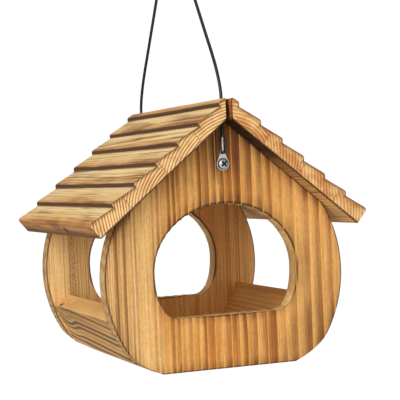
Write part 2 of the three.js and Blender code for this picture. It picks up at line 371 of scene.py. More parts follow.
def paint_panel_inside(wood):
    """Painted light and shade: paler to the left, where the inside is lit, and browner to the right, where it
    lies in shade, with a grey streak between them.
    """
    wood.colour = srgb(255, 210, 138)
    wood.paint(wood.step(wood.tone, -0.12, 0.2) * 0.55, AMBER)
    # Painted shade: browner towards the right.
    wood.paint(wood.fade(wood.x, -45, 0) * 0.6, srgb(222, 150, 74))
    # Painted light: paler towards the far left.
    wood.paint(wood.fade(wood.x, -72, -84) * 0.5, srgb(255, 216, 150))
    wood.paint(wood.band * 0.5, BROWN)
    streak = wood.fade(abs(wood.across - INSIDE_STREAK * MM), 7.5, 1)
    speckle = wood.noise(wood.across * 2200, wood.seed, wood.z * 500)
    wood.paint(streak * (0.35 + speckle * 2.4), SCORCH)
    wood.paint(wood.dark_streak * 0.3, BROWN)


def scorch_gable(wood):
    """Darker towards the apex, and most of all behind the terminal."""
    gable = wood.fade(wood.height + wood.streaks * 0.06, 110, 180)
    gable_left = gable * wood.fade(wood.x, 30, -10)
    lug_height = wood.fade(wood.height, 138, 165)
    behind_lug = wood.fade(abs(wood.across - 2 * MM), 19, 9)
    beside_lug = wood.fade(abs(wood.across - BESIDE_LUG * MM), 2.6, 1.2)
    wood.paint(gable * (0.12 + wood.band * 0.62), SCORCH)
    wood.paint(gable_left * (0.1 + wood.band * 0.5), SCORCH)
    wood.paint(behind_lug * lug_height * 0.85, SCORCH)
    wood.paint(beside_lug * lug_height * 0.8, CHAR_AND_SHADE)


def paint_panel_outside(wood):
    """Paler towards its left side, and scorched in the gable, in blotches and along the edges, with painted
    shade at the left shoulder under the roof.
    """
    to_left = wood.fade(wood.x, -42, -72)
    to_right = wood.fade(wood.x, 40, 68)
    pale_line = wood.step(wood.noise(wood.across * 760, wood.seed, wood.z * 3), 0.0, 0.16)
    ragged = wood.noise(wood.across * 330, wood.seed, wood.z * 12)
    wood.colour = HONEY
    wood.paint(wood.step(wood.tone, -0.12, 0.16), AMBER)
    wood.paint(to_left * 0.62, srgb(240, 198, 130))
    wood.paint(to_right * 0.55, srgb(244, 188, 114))
    wood.paint(wood.band * (0.8 + wood.blotches * 1.5) * (1 - to_left * 0.55), BROWN)
    wood.paint(wood.dark_streak * 0.75 * (1 - to_left * 0.6 - to_right * 0.6), BROWN)
    wood.paint(to_left * pale_line * 0.55, srgb(255, 228, 176))
    for place_x, half_width in EDGE_STREAKS:
        away = abs(wood.across - place_x * MM + ragged * 0.003)
        wood.paint(wood.fade(away, half_width, half_width * 0.3) * 0.75, BROWN)
    scorch_gable(wood)
    near_edge = wood.fade(wood.edge + ragged * 0.012, 10, 0)
    low_right = to_right * wood.fade(wood.height + wood.blotches * 0.06, 66, 34)
    shoulder = wood.fade(wood.height, 100, 116) * wood.fade(wood.x, -60, -75)
    wood.paint(near_edge * (0.3 + wood.band * 0.7) * (1 - to_left * 0.5), SCORCH)
    wood.paint(wood.step(wood.blotches, 0.1, 0.28) * (0.55 - to_right * 0.3), SCORCH)
    wood.paint(low_right * (0.2 + wood.band * 0.6) * 0.8, SCORCH)
    # Painted shade: near black along the outline at the left shoulder, where it meets the roof.
    wood.paint(shoulder * wood.fade(wood.outline + ragged * 0.012, 8, 2) * 0.9, CHAR_AND_SHADE)


def panel_face(name, seed, inside=False):
    """A panel's outer or inner face. A bright line follows each dark stripe, and the arris is charred."""
    wood = PanelWood(name, seed, inside)
    if inside:
        paint_panel_inside(wood)
    else:
        paint_panel_outside(wood)
    phase = wood.math("FRACT", wood.rings)
    bright_line = wood.step(phase, 0.84, 0.92) * wood.step(phase, 1.0, 0.96)
    speck = wood.noise(wood.across * 620, seed, wood.z * 330, detail=3.0)
    wood.paint(wood.fade(wood.edge, 1.6, 0.5) * 0.85, CHAR_AND_SHADE)
    wood.paint(bright_line * (0.2 if inside else 0.6), srgb(244, 176, 84))
    wood.paint(wood.step(wood.fibres, 0.06, 0.24) * 0.5, BROWN)
    wood.tint(1 + wood.fibres * 0.9 + speck * 0.45)
    wood.bump(wood.band * -1.0 + wood.fibres * 0.8 + speck * 0.4, 0.0004)
    return wood.finish()


def panel_rim(name, seed):
    """The sawn edges of a panel, through its thickness: pale in the window, browner outside."""
    look = Look(name, roughness=0.7, specular=0.2)
    grain = Grain(look, look.x, look.y, look.z, seed)
    stripes = stripe_count(look.x + grain.wander(0.007, 0.001))
    band = grain.band(stripes, start=0.3, full=0.8, floor=0.2)
    speckle = look.noise(look.x * 800, look.y * 900, look.z * 90, detail=3.0)
    sawn = look.step(speckle, -0.2, 0.2)
    from_middle = abs(abs(look.y) - (PANEL_OUTER + PANEL_INNER) / 2 * MM)
    weathered = look.mix(sawn, srgb(216, 178, 122), srgb(128, 90, 52))
    look.colour = look.mix(sawn, srgb(250, 214, 148), srgb(208, 158, 92))
    look.paint(look.fade(window_distance(look), 4, 8) * 0.8, weathered)
    look.paint(band * 0.75, srgb(150, 98, 50))
    look.paint(look.fade(from_middle, 5.4, 6.7) * 0.8, CHAR_AND_SHADE)
    look.tint(1 + grain.patches() * 0.5)
    look.bump(speckle, 0.0003)
    return look.finish()


def board_wood(name, seed, light, dark, heart, pitch, strength, knot=None, slope=0.0):
    """A board that runs from front to back. heart is (x, height) in millimetres, and slope its climb."""
    look = Look(name, roughness=0.6, specular=0.25)
    grain = Grain(look, look.x, look.height, look.y, seed)
    stray = grain.wander(0.02, 0.0012)
    if knot:
        centre, size = knot
        dx = look.x - centre[0] * MM
        dy = look.y - centre[1] * MM
        dz = look.height - centre[2] * MM
        away = look.math("SQRT", dx * dx + dy * dy * 0.35 + dz * dz)
        spot = look.fade(away, size, size * 0.45)
        stray = stray + look.fade(away, size * 5, 0) * 0.007
    rings = grain.rings((heart[0] * MM, heart[1] * MM), pitch * MM, stray - look.y * slope)
    band = grain.band(rings, start=0.05, full=0.65, floor=0.35)
    patches = grain.patches()
    fibres = grain.fibres()
    look.colour = light
    look.paint(look.step(patches, -0.25, 0.25), look.mix(0.5, light, dark))
    look.paint(band * strength, dark)
    look.paint(look.step(patches, 0.12, 0.3) * 0.35, CHAR_AND_SHADE)
    if knot:
        look.paint(spot * 0.85, CHAR_AND_SHADE)
    look.tint(1 + fibres * 0.5)
    look.bump(band * -1.0 + fibres * 0.6, 0.0003)
    return look.finish()


# ---- Roof wood. Staves are glued side by side; each has its own heart.
ROOF_SEED = {"left": 3.7, "right": 8.1}
STAVES = {  # side: (lower limit along the slope, heart along the slope, heart above the underside)
    "left": [(-20, 30, -70), (30, 26, -48), (66, 60, -46), (104, 40, -44)],
    "right": [(-20, 20, -34), (34, -7, -42), (72, 152, 57), (108, 68, -37)],
}
RING_PITCH = {"left": 2.3, "right": 2.7}
END_RINGS = {"left": 0.75, "right": 0.38}  # how strongly the rings show
END_BLOTCHES = {"left": 7.0, "right": 2.5}  # where in the noise the end grain's tones are taken
END_COLOURS = {  # two tones of the wood, its light rings and its dark rings
    "left": (srgb(250, 200, 128), srgb(216, 154, 88), srgb(255, 228, 176), srgb(150, 90, 44)),
    "right": (srgb(240, 190, 122), srgb(200, 128, 62), srgb(252, 220, 166), srgb(160, 94, 42)),
}
EAVE_KNOT = (-30.0, 6.5)  # along the eave and above the underside


class RoofWood(Look):
    """Half a roof: distance down the slope and above the underside, its rings and its glue lines."""

    def __init__(self, side, kind):
        super().__init__(f"roof_{side}_{kind}", roughness=0.6, specular=0.25)
        self.side = side
        x = self.x * (-1.0 if side == "left" else 1.0)
        drop = ROOF_APEX * MM - self.height
        self.down = x * math.cos(ROOF_ANGLE) + drop * math.sin(ROOF_ANGLE)
        self.above = x * math.sin(ROOF_ANGLE) - drop * math.cos(ROOF_ANGLE)
        self.grain = Grain(self, self.down, self.above, self.y, ROOF_SEED[side])
        self.count_rings()

    def count_rings(self):
        """The heart jumps from stave to stave, at the glue lines."""
        first, *others = STAVES[self.side]
        heart_down = self.math("ADD", first[1] * MM, 0.0)
        heart_above = self.math("ADD", first[2] * MM, 0.0)
        self.glue = self.math("ADD", 0.0, 0.0)
        for before, (limit, down, above) in zip(STAVES[self.side], others):
            past = self.math("GREATER_THAN", self.down, limit * MM)
            heart_down = heart_down + past * ((down - before[1]) * MM)
            heart_above = heart_above + past * ((above - before[2]) * MM)
            self.glue = self.glue + self.fade(abs(self.down - limit * MM), 0.6, 0.1)
        stray = self.grain.wander(0.014, 0.0012)
        self.rings = self.grain.rings((heart_down, heart_above), RING_PITCH[self.side] * MM, stray)

    def place_on_shingle(self):
        """0 behind a riser, and 1 at the next nose."""
        return self.math("FRACT", self.down / (SHINGLE_PITCH * MM) + 1.0)

    def marks(self):
        """Slow changes along the grain, about zero."""
        return self.noise(self.y * 16, self.down * 45, self.above * 10, detail=3.0)

    def streaks(self):
        """Long thin marks along the grain, about zero."""
        return self.noise(self.y * 7, self.down * 330, self.above * 330, detail=3.0, roughness=0.6)


def roof_end(wood):
    """End grain: light and dark rings, scorched at the steps, with a painted shadow line along the underside.
    """
    pale, deep, light, dark = END_COLOURS[wood.side]
    strength = END_RINGS[wood.side]
    phase = wood.math("FRACT", wood.rings)
    light_ring = wood.step(phase, 0.0, 0.15) * wood.step(phase, 0.5, 0.3)
    dark_ring = wood.step(phase, 0.5, 0.78) * wood.step(phase, 1.0, 0.9)
    broad = wood.noise(wood.down * 70, wood.above * 100, END_BLOTCHES[wood.side], detail=3.0)
    ragged = wood.noise(wood.down * 160, wood.above * 160, 5.0) * 0.002
    speckle = wood.noise(wood.down * 900, wood.above * 900, wood.y * 20)
    from_nose = (1 - wood.place_on_shingle()) * (SHINGLE_PITCH * MM)
    below_top = ROOF_THICKNESS * MM - from_nose * TREAD_RISE - wood.above
    wood.colour = pale
    wood.paint(wood.step(broad, -0.13, 0.13), deep)
    wood.paint(light_ring * strength * 0.8, light)
    wood.paint(dark_ring * strength, dark)
    wood.paint(wood.fade(below_top + ragged, 3.6, 0.4) * 0.7, SCORCH)
    wood.paint(wood.fade(below_top, 0.9, 0.1) * 0.7, CHAR_AND_SHADE)
    # Painted shadow: a near-black line along the underside, where the end stands proud of the panel.
    wood.paint(wood.fade(wood.above + ragged * 0.5, 1.6, 0.6) * 0.95, CHAR_AND_SHADE)
    wood.paint(wood.glue * 0.5, BROWN)
    wood.tint(1 + speckle * 0.3)
    wood.bump(speckle - dark_ring, 0.0002)
    return wood.finish()


def paint_tread(wood, band):
    """Cream below each riser and browner towards the nose, with painted shade in the corner."""
    marks = wood.marks()
    streaks = wood.streaks()
    place_on = wood.place_on_shingle()
    below_riser = wood.step(place_on, 0.09, 0.13) * wood.step(place_on, 0.40, 0.2)
    wood.colour = srgb(255, 222, 160)
    wood.paint(wood.step(wood.grain.patches(), -0.2, 0.3), srgb(246, 196, 120))
    wood.paint(wood.step(place_on + marks * 0.5, 0.45, 0.95) * 0.65, srgb(218, 150, 78))
    wood.paint(band * (0.8 + marks * 1.8), srgb(150, 92, 42))
    wood.paint(wood.step(streaks + marks * 0.5, 0.04, 0.22) * 0.8, srgb(136, 82, 38))
    wood.paint(wood.step(streaks, -0.08, -0.25) * 0.7, srgb(255, 236, 190))
    wood.paint(below_riser * 0.5, srgb(255, 232, 178))
    # Painted shade in the corner at each riser's foot.
    wood.paint(wood.step(place_on, 0.09, 0.06) * 0.7, SOOT_AND_SHADE)
    wood.paint(wood.step(place_on, 0.84, 0.99) * (0.5 + marks * 2.0), srgb(112, 68, 36))


def paint_riser(wood, band):
    """Dark grey-brown from the nose down to the foot."""
    turned = (ROOF_THICKNESS * MM - wood.above) / (SHINGLE_DROP * MM) + wood.marks() * 0.8
    wood.colour = srgb(178, 120, 66)
    wood.paint(wood.step(turned, -0.1, 0.3) * wood.step(turned, 1.1, 0.7) * 0.9, srgb(60, 46, 41))
    wood.paint(band * 0.35, srgb(112, 70, 38))


def paint_ridge(wood, band):
    """The slot between the roof halves: brown at its ends, and painted shade, near black, deeper in and low
    down.
    """
    shade_deep_in = wood.fade(abs(wood.y) + wood.marks() * 0.006, 103.5, 100.5)
    shade_low_down = wood.fade(wood.height, 196, 190)
    wood.colour = srgb(216, 140, 70)
    wood.paint(band * 0.6, srgb(150, 84, 36))
    wood.paint(wood.fade(abs(wood.y), 107, 108.5) * 0.85, CHAR_AND_SHADE)
    # Painted shade: near black deep in the slot and low in it.
    wood.paint(wood.math("MAXIMUM", shade_deep_in, shade_low_down) * 0.9, srgb(30, 18, 10))


def paint_eave(wood, band):
    """Flame marks along the lowest edge, and a knot."""
    marks = wood.marks()
    flames = wood.noise(wood.y * 11, 2.0, wood.above * 240, detail=3.0)
    knot_y = wood.y - EAVE_KNOT[0] * MM
    knot_up = wood.above - EAVE_KNOT[1] * MM
    from_knot = wood.math("SQRT", knot_y * knot_y * 0.3 + knot_up * knot_up)
    wood.colour = srgb(200, 142, 78)
    wood.paint(band * 0.75, srgb(112, 66, 30))
    wood.paint(wood.step(flames, -0.02, 0.14) * 0.7, srgb(104, 66, 38))
    wood.paint(wood.fade(wood.above + marks * 0.016, 9, 2) * 0.75, srgb(82, 50, 28))
    wood.paint(wood.step(marks, 0.0, 0.2) * 0.8, srgb(86, 52, 28))
    wood.paint(wood.fade(from_knot, 4.5, 1.5) * 0.8, SOOT_AND_SHADE)


def paint_under(wood, band):
    """Plain wood, but scorched where it overhangs the panels, and darkened by char and painted shade towards
    the ridge, near black nearest it.
    """
    overhang = wood.fade(abs(wood.y), 91.2, 92.2)
    lower = wood.down + wood.marks() * 0.03
    wood.colour = srgb(222, 172, 106)
    wood.paint(band * 0.6, srgb(152, 100, 54))
    # Char and painted shade: darker where it overhangs, towards the ridge.
    wood.paint(overhang * wood.fade(lower, 110, 50) * 0.75, srgb(96, 54, 22))
    wood.paint(overhang * wood.step(wood.streaks(), 0.02, 0.2) * 0.6, srgb(110, 64, 30))
    wood.paint(wood.fade(abs(wood.y), 107.8, 109.2) * 0.8, CHAR_AND_SHADE)
    # Char and painted shade: near black nearest the ridge.
    wood.paint(overhang * wood.fade(lower, 62, 38) * 0.95, srgb(30, 16, 10))


ROOF_PAINTS = {
    "tread": paint_tread,
    "riser": paint_riser,
    "under": paint_under,
    "eave": paint_eave,
    "ridge": paint_ridge,
}


def roof_look(side, kind):
    """kind is one of ROOF_KINDS."""
    wood = RoofWood(side, kind)
    if kind == "end":
        return roof_end(wood)
    band = wood.grain.band(wood.rings, start=0.25, full=0.8, floor=0.1)
    fibres = wood.grain.fibres()
    ROOF_PAINTS[kind](wood, band)
    wood.paint(wood.glue * 0.4, BROWN)
    wood.tint(1 + fibres * 0.9)
    wood.bump(band * -1.0 + fibres * 0.8, 0.0004)
    return wood.finish()


# ---- Metal and wire
def plain_metal(name, colour, roughness, contact_shade_radius=0.0):
    """Zinc plate, with painted contact shade round the eye's middle up to a radius in millimetres."""
    look = Look(name, roughness=roughness, metallic=1.0, colour=colour)
    mottle = look.noise(look.x * 900, look.y * 900, look.z * 900, detail=3.0)
    look.tint(1 + mottle * 0.35)
    if contact_shade_radius:
        up = look.height - EYE_HEIGHT * MM
        away = look.math("SQRT", look.x * look.x + up * up)
        # Painted shade: a dark ring round the screw head, where the head meets the plate.
        look.paint(look.fade(away, contact_shade_radius + 0.15, contact_shade_radius - 0.15) * 0.9, srgb(40, 37, 33))
    look.feed(look.surface.inputs["Roughness"], roughness + mottle * 0.2)
    look.bump(mottle, 0.00005)
    return look.finish()


def coated_wire_look():
    look = Look("black_coating", roughness=0.38, colour=srgb(14, 12, 10))
    grain = look.noise(look.x * 1500, look.y * 1500, look.z * 300)
    look.paint(look.step(grain, -0.3, 0.3), srgb(30, 27, 24))
    look.bump(grain, 0.00006)
    return look.finish()


# Painted shade: the cross recess of the zinc screw is drawn near black.
def shaded_recess_look():
    look = Look("recess_painted_shade", roughness=0.8, colour=srgb(10, 10, 10))
    grain = look.noise(look.x * 1500, look.y * 1500, look.z * 1500)
    look.paint(look.step(grain, -0.3, 0.3), srgb(26, 25, 24))
    return look.finish()


# ---- Meshes
def new_mesh(name, vertices, faces):
    """A mesh with its faces turned outwards."""
    mesh = bpy.data.meshes.new(name)
    mesh.from_pydata(vertices, [], faces)
    work = bmesh.new()
    work.from_mesh(mesh)
    bmesh.ops.recalc_face_normals(work, faces=work.faces)
    work.to_mesh(mesh)
    work.free()
    return mesh


def tube_faces(rings, count):
    """The faces of a closed tube of rings of vertices: its two ends, then its sides, ring by ring."""
    last = (rings - 1) * count
    faces = [tuple(reversed(range(count))), tuple(range(last, last + count))]
    for first in range(0, last, count):
        for i in range(count):
            j = (i + 1) % count
            faces.append((first + i, first + j, first + count + j, first + count + i))
    return faces


def add_object(name, mesh, materials=()):
    for material in materials:
        mesh.materials.append(material)
    made = bpy.data.objects.new(name, mesh)
    scene.collection.objects.link(made)
    return made


def smooth_below(mesh, degrees):
    for face in mesh.polygons:
        face.use_smooth = True
    mesh.set_sharp_from_angle(angle=math.radians(degrees))


def soften(thing, width, angle=40):
    """Worn edges, as a modifier."""
    bevel = thing.modifiers.new("worn_edges", "BEVEL")
    bevel.width = width * MM
    bevel.segments = 2
    bevel.limit_method = "ANGLE"
    bevel.angle_limit = math.radians(angle)


def arc(centre, radius, start, stop, steps):
    """Points on a circle, in X and height."""
    turns = [start + (stop - start) * i / steps for i in range(steps + 1)]
    return [(centre[0] + radius * math.cos(t), centre[1] + radius * math.sin(t)) for t in turns]


def bezier(corners, steps):
    """Points on the curve that two ends and the corners between them draw, without its first one."""
    found = []
    for i in range(1, steps + 1):
        row = corners
        while len(row) > 1:
            row = [tuple(p + (q - p) * i / steps for p, q in zip(a, b)) for a, b in zip(row, row[1:])]
        found += row
    return found


def flat_solid(name, loops, thickness, edge, middle_y, materials, pick_material):
    """A plate drawn in X and height, with holes, worn edges and its faces towards front and back."""
    curve = bpy.data.curves.new(name, "CURVE")
    curve.dimensions = "2D"
    curve.fill_mode = "BOTH"
    curve.bevel_depth = edge * MM
    curve.bevel_resolution = 1
    curve.extrude = (thickness / 2 - edge) * MM
    curve.offset = -edge * MM
    for loop in loops:
        spline = curve.splines.new("POLY")
        spline.points.add(len(loop) - 1)
        for point, (x, height) in zip(spline.points, loop):
            point.co = (x * MM, height * MM, 0, 1)
        spline.use_cyclic_u = True
    shape = bpy.data.objects.new(name, curve)
    scene.collection.objects.link(shape)
    graph = bpy.context.evaluated_depsgraph_get()
    mesh = bpy.data.meshes.new_from_object(shape.evaluated_get(graph))
    bpy.data.objects.remove(shape)
    bpy.data.curves.remove(curve)
    mesh.name = name
    mesh.materials.clear()
    mesh.transform(Matrix.Translation((0, middle_y * MM, BASE)) @ Matrix.Rotation(math.pi / 2, 4, "X"))
    made = add_object(name, mesh, materials)
    for face in mesh.polygons:
        face.material_index = pick_material(face)
    smooth_below(mesh, 32)
    return made


def extrude_along_y(name, outline, kinds, end_kind, materials, from_y, to_y, rows):
    """A bar whose section is drawn in X and height. kinds has the material of each side of the section."""
    ys = [from_y + (to_y - from_y) * row / rows for row in range(rows + 1)]
    vertices = [place(x, y, height) for y in ys for x, height in outline]
    mesh = new_mesh(name, vertices, tube_faces(len(ys), len(outline)))
    made = add_object(name, mesh, materials)
    for face, kind in zip(mesh.polygons, [end_kind] * 2 + kinds * rows):
        face.material_index = kind
    smooth_below(mesh, 32)
    return made


def keep(piece, slot, *nodes, body="house"):
    """The piece stands for these CAD nodes and moves with their body."""
    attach(piece, body)
    if nodes:
        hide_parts(*nodes)


# ---- Panels
SCALLOP = 1.1  # how deep the soft wood is burnt away between the stripes at a cut edge


def scallop(x):
    return SCALLOP * (1 - abs(math.sin(math.pi * stripe_count(x * MM))))


def window_loop():
    """Half an ellipse over a flat sill with soft corners."""
    arch_steps = 160
    corner_steps = 24
    sill_steps = 90
    sill_handle = 12
    side_handle = 20
    rise = WINDOW_TOP - WINDOW_WIDEST
    sill_end = (SILL_HALF, SILL_HEIGHT)
    past_sill = (SILL_HALF + sill_handle, SILL_HEIGHT)
    below_arch = (WINDOW_HALF, WINDOW_WIDEST - side_handle)
    arch_end = (WINDOW_HALF, WINDOW_WIDEST)
    corner = [sill_end, *bezier([sill_end, past_sill, below_arch, arch_end], corner_steps)[:-1]]
    loop = []
    for i in range(arch_steps + 1):
        turn = math.pi * i / arch_steps
        x = WINDOW_HALF * math.cos(turn)
        loop.append((x, WINDOW_WIDEST + rise * math.sin(turn) - scallop(x) * math.sin(turn) ** 2))
    loop += [(-x, height) for x, height in reversed(corner)]
    for i in range(1, sill_steps):
        x = SILL_HALF * (2 * i / sill_steps - 1)
        loop.append((x, SILL_HEIGHT + 0.4 * scallop(x)))
    return loop + corner


def panel_loop():
    """Flat feet, round sides and the gable's two slopes."""
    turn_in_steps = 12
    side_steps = 60
    turn = (PANEL_RADIUS * math.cos(TURN_IN), PANEL_CENTRE - PANEL_RADIUS * math.sin(TURN_IN))
    bend = (turn[0] - TURN_IN_HANDLE * math.sin(TURN_IN), turn[1] - TURN_IN_HANDLE * math.cos(TURN_IN))
    apex = ROOF_APEX - GAP / math.cos(ROOF_ANGLE)
    roof_distance = (apex - PANEL_CENTRE) * math.cos(ROOF_ANGLE)
    shoulder = math.pi / 2 - ROOF_ANGLE - math.acos(roof_distance / PANEL_RADIUS)
    foot = (FOOT_HALF, 0)
    right = [foot, *bezier([foot, bend, turn], turn_in_steps)]
    right += arc((0, PANEL_CENTRE), PANEL_RADIUS, -TURN_IN, shoulder, side_steps)[1:]
    left = [(-x, height) for x, height in reversed(right)]
    return [*right, (0, apex), *left]


OUTSIDE, INSIDE, RIM = range(3)
for end, sign, seed in (("front", -1, 1.3), ("back", 1, 5.9)):
    gable = flat_solid(
        f"{end}_gable",
        [panel_loop(), window_loop()],
        PANEL_THICKNESS,
        PANEL_EDGE,
        sign * (PANEL_OUTER + PANEL_INNER) / 2,
        [
            panel_face(f"panel_face_{end}", seed),
            panel_face(f"panel_inside_{end}", seed, inside=True),
            panel_rim(f"panel_rim_{end}", seed),
        ],
        lambda face: RIM if abs(face.normal.y) < 0.9 else (OUTSIDE if face.normal.y * sign > 0 else INSIDE),
    )
    keep(gable, "panel_wood", f"{end}_panel")

# ---- Tray
inner_top = (
    BOARD_TOP[0] - BOARD_THICKNESS * math.sin(BOARD_ANGLE),
    BOARD_TOP[1] + BOARD_THICKNESS * math.cos(BOARD_ANGLE),
)


def down_board(point, height):
    """X of the board's face through that point, at a height."""
    return point[0] - (point[1] - height) / math.tan(BOARD_ANGLE)


side_outline = [
    BOARD_TOP,
    inner_top,
    (down_board(inner_top, 0), 0),
    (BOARD_FOOT, 0),
    (down_board(BOARD_TOP, BOARD_BEVEL_HEIGHT), BOARD_BEVEL_HEIGHT),
]
TRAY_LOOKS = {
    "left": board_wood(
        "tray_wood_left", 4.4, srgb(236, 180, 104), srgb(92, 60, 38), (-60, -40), 5.6, 0.95,
        knot=((-84, 56, 30), 4.0), slope=0.09,
    ),
    "right": board_wood("tray_wood_right", 6.1, srgb(222, 164, 92), srgb(160, 102, 50), (150, 60), 3.4, 0.7),
}
TRAY_TOPS = {
    "left": board_wood(
        "tray_edge_left", 4.4, srgb(255, 218, 144), srgb(222, 156, 86), (-60, -40), 3.6, 0.5,
        knot=((-92, 60, 45), 3.0),
    ),
    "right": board_wood("tray_edge_right", 6.1, srgb(222, 176, 112), srgb(180, 126, 72), (150, 60), 3.4, 0.5),
}
for side, sign in (("left", -1), ("right", 1)):
    outline = [(sign * x, height) for x, height in side_outline]
    looks = [TRAY_LOOKS[side], TRAY_TOPS[side]]
    board = extrude_along_y(f"{side}_tray_side", outline, [1, 0, 0, 0, 0], 0, looks, -BOARD_END, BOARD_END, 1)
    soften(board, WOOD_EDGE)
    keep(board, "board_wood", f"{side}_side_board")

clear = GAP / math.sin(BOARD_ANGLE)
floor_low = down_board(inner_top, 0) - clear
floor_high = down_board(inner_top, FLOOR_THICKNESS) - clear
floor_outline = [(-floor_low, 0), (floor_low, 0)]
floor_outline += [(floor_high, FLOOR_THICKNESS), (-floor_high, FLOOR_THICKNESS)]
floor_look = board_wood("tray_wood_floor", 9.3, srgb(200, 150, 92), srgb(134, 86, 46), (10, -60), 3.4, 0.7)
tray_floor = extrude_along_y("tray_floor", floor_outline, [0] * 4, 0, [floor_look], -BOARD_END, BOARD_END, 1)
soften(tray_floor, WOOD_EDGE)
keep(tray_floor, "board_wood", "floor_board")


# ---- Roof
def roof_point(down, above):
    """A point of the right half's section, in X and height."""
    x = down * math.cos(ROOF_ANGLE) + above * math.sin(ROOF_ANGLE)
    return (x, ROOF_APEX - down * math.sin(ROOF_ANGLE) + above * math.cos(ROOF_ANGLE))


ROOF_KINDS = ("tread", "riser", "end", "under", "eave", "ridge")
TREAD, RISER, END, UNDER, EAVE, RIDGE = range(len(ROOF_KINDS))


def roof_section():
    """The section's points, and the material of the side after each."""
    nose_steps = 5
    foot_steps = 3
    points = []
    kinds = []

    def go(point, kind):
        points.append(point)
        kinds.append(kind)

    nose_x = ROOF_THICKNESS * math.sin(ROOF_ANGLE)
    back = (nose_x - RIDGE_GAP) / (math.cos(ROOF_ANGLE) + TREAD_RISE * math.sin(ROOF_ANGLE))
    ridge_top = roof_point(-back, ROOF_THICKNESS - TREAD_RISE * back)
    past_ridge = -back + RIDGE_ARRIS
    after_ridge = roof_point(past_ridge, ROOF_THICKNESS + TREAD_RISE * past_ridge)
    before_ridge = (RIDGE_GAP, ridge_top[1] - RIDGE_ARRIS)
    go((RIDGE_GAP, ROOF_APEX - RIDGE_GAP * math.tan(ROOF_ANGLE)), RIDGE)
    go(before_ridge, RIDGE)
    for point in bezier([before_ridge, ridge_top, after_ridge], nose_steps):
        go(point, TREAD)
    for k in range(SHINGLES):
        nose = k * SHINGLE_PITCH
        last = k == SHINGLES - 1
        radius = EAVE_RADIUS if last else NOSE_RADIUS
        start = roof_point(nose - radius, ROOF_THICKNESS - TREAD_RISE * radius)
        lean = 0 if last else radius * SHINGLE_LEAN / SHINGLE_DROP
        stop = roof_point(nose + lean, ROOF_THICKNESS - radius)
        front = EAVE if last else RISER
        go(start, TREAD)
        turn = bezier([start, roof_point(nose, ROOF_THICKNESS), stop], nose_steps)
        for i, point in enumerate(turn):
            go(point, front if i else TREAD)
        if last:
            go(roof_point(nose, 0), UNDER)
        else:
            foot = roof_point(nose + SHINGLE_LEAN, ROOF_THICKNESS - SHINGLE_DROP)
            above_foot = roof_point(nose + 0.8 * SHINGLE_LEAN, ROOF_THICKNESS - 0.85 * SHINGLE_DROP)
            rise = ROOF_THICKNESS - SHINGLE_DROP + FOOT_FILLET * TREAD_RISE
            past_foot = roof_point(nose + SHINGLE_LEAN + FOOT_FILLET, rise)
            go(above_foot, RISER)
            for point in bezier([above_foot, foot, past_foot], foot_steps):
                go(point, TREAD)
    return points, kinds


section, section_kinds = roof_section()
for side, sign in (("left", -1), ("right", 1)):
    looks = [roof_look(side, kind) for kind in ROOF_KINDS]
    outline = [(sign * x, height) for x, height in section]
    half = extrude_along_y(f"{side}_roof_half", outline, section_kinds, END, looks, -ROOF_END, ROOF_END, 24)
    soften(half, 0.5, angle=48)
    keep(half, "roof_wood", f"{side}_roof")

dowel_look = board_wood("dowel_beech", 7.7, srgb(224, 196, 150), srgb(190, 154, 108), (0, 300), 2.0, 0.5)
for name, node in frame["nodes"].items():
    if name.startswith("dowel_"):
        node.data.materials.clear()
        node.data.materials.append(dowel_look)

# ---- Ring terminals and screws
zinc = plain_metal("zinc_head_look", srgb(196, 197, 197), 0.34)
# The plate carries a painted shade ring round the screw head.
zinc_plate = plain_metal("zinc_plate_look", srgb(190, 190, 183), 0.3, contact_shade_radius=HEAD_RADIUS + 0.55)
# Painted shade: the barrel is the plate's zinc made darker.
shaded_zinc_barrel = plain_metal("zinc_barrel_look", srgb(158, 155, 148), 0.36)
recess = shaded_recess_look()


def eye_loops():
    """A ring with a neck that runs up to the barrel, and its hole."""
    neck = 1.9
    flare = math.pi * 0.22
    outer = [(neck, BARREL_FROM + 1.5), (-neck, BARREL_FROM + 1.5), (-neck, BARREL_FROM - 1)]
    outer += arc((0, EYE_HEIGHT), EYE_RADIUS, math.pi - flare, 2 * math.pi + flare, 48)
    outer += [(neck, BARREL_FROM - 1)]
    return [outer, arc((0, EYE_HEIGHT), EYE_HOLE, 0, 2 * math.pi * 31 / 32, 31)]


def barrel_mesh(name, y, seam_side):
    """A strip rolled into a tube, its seam outwards, squeezed onto the wire half way up."""
    seam = 0.27  # half of the seam's opening, in radians
    lip_thickness = 0.16
    squeeze_depth = 0.15
    turn_steps = 40
    rise_steps = 14
    turns = [seam + (2 * math.pi - 2 * seam) * i / turn_steps for i in range(turn_steps + 1)]
    vertices = []
    for row in range(rise_steps + 1):
        t = row / rise_steps
        height = BARREL_FROM + (BARREL_TO - BARREL_FROM) * t
        lip = lip_thickness * max(0.0, 1 - 12 * min(t, 1 - t))
        squeeze = squeeze_depth * math.exp(-(((t - 0.5) / 0.16) ** 2))
        section = [(turn, BARREL_RADIUS - lip) for turn in turns]
        section += [(turn, BARREL_RADIUS - BARREL_WALL + lip) for turn in reversed(turns)]
        for turn, radius in section:
            radius -= squeeze * max(0.0, math.cos(turn)) ** 3
            out = seam_side * radius * math.cos(turn)
            vertices.append(place(radius * math.sin(turn), y + out, height))
    mesh = new_mesh(name, vertices, tube_faces(rise_steps + 1, 2 * len(turns)))
    smooth_below(mesh, 50)
    return mesh


def lathe(name, profile, sides, y, out):
    """A round solid about a line along Y through the eye. The profile is (radius, distance outwards)."""
    vertices = []
    for radius, distance in profile:
        for x, height in arc((0, EYE_HEIGHT), radius, 0, 2 * math.pi, sides)[:-1]:
            vertices.append(place(x, y + out * distance, height))
    return new_mesh(name, vertices, tube_faces(len(profile), sides))


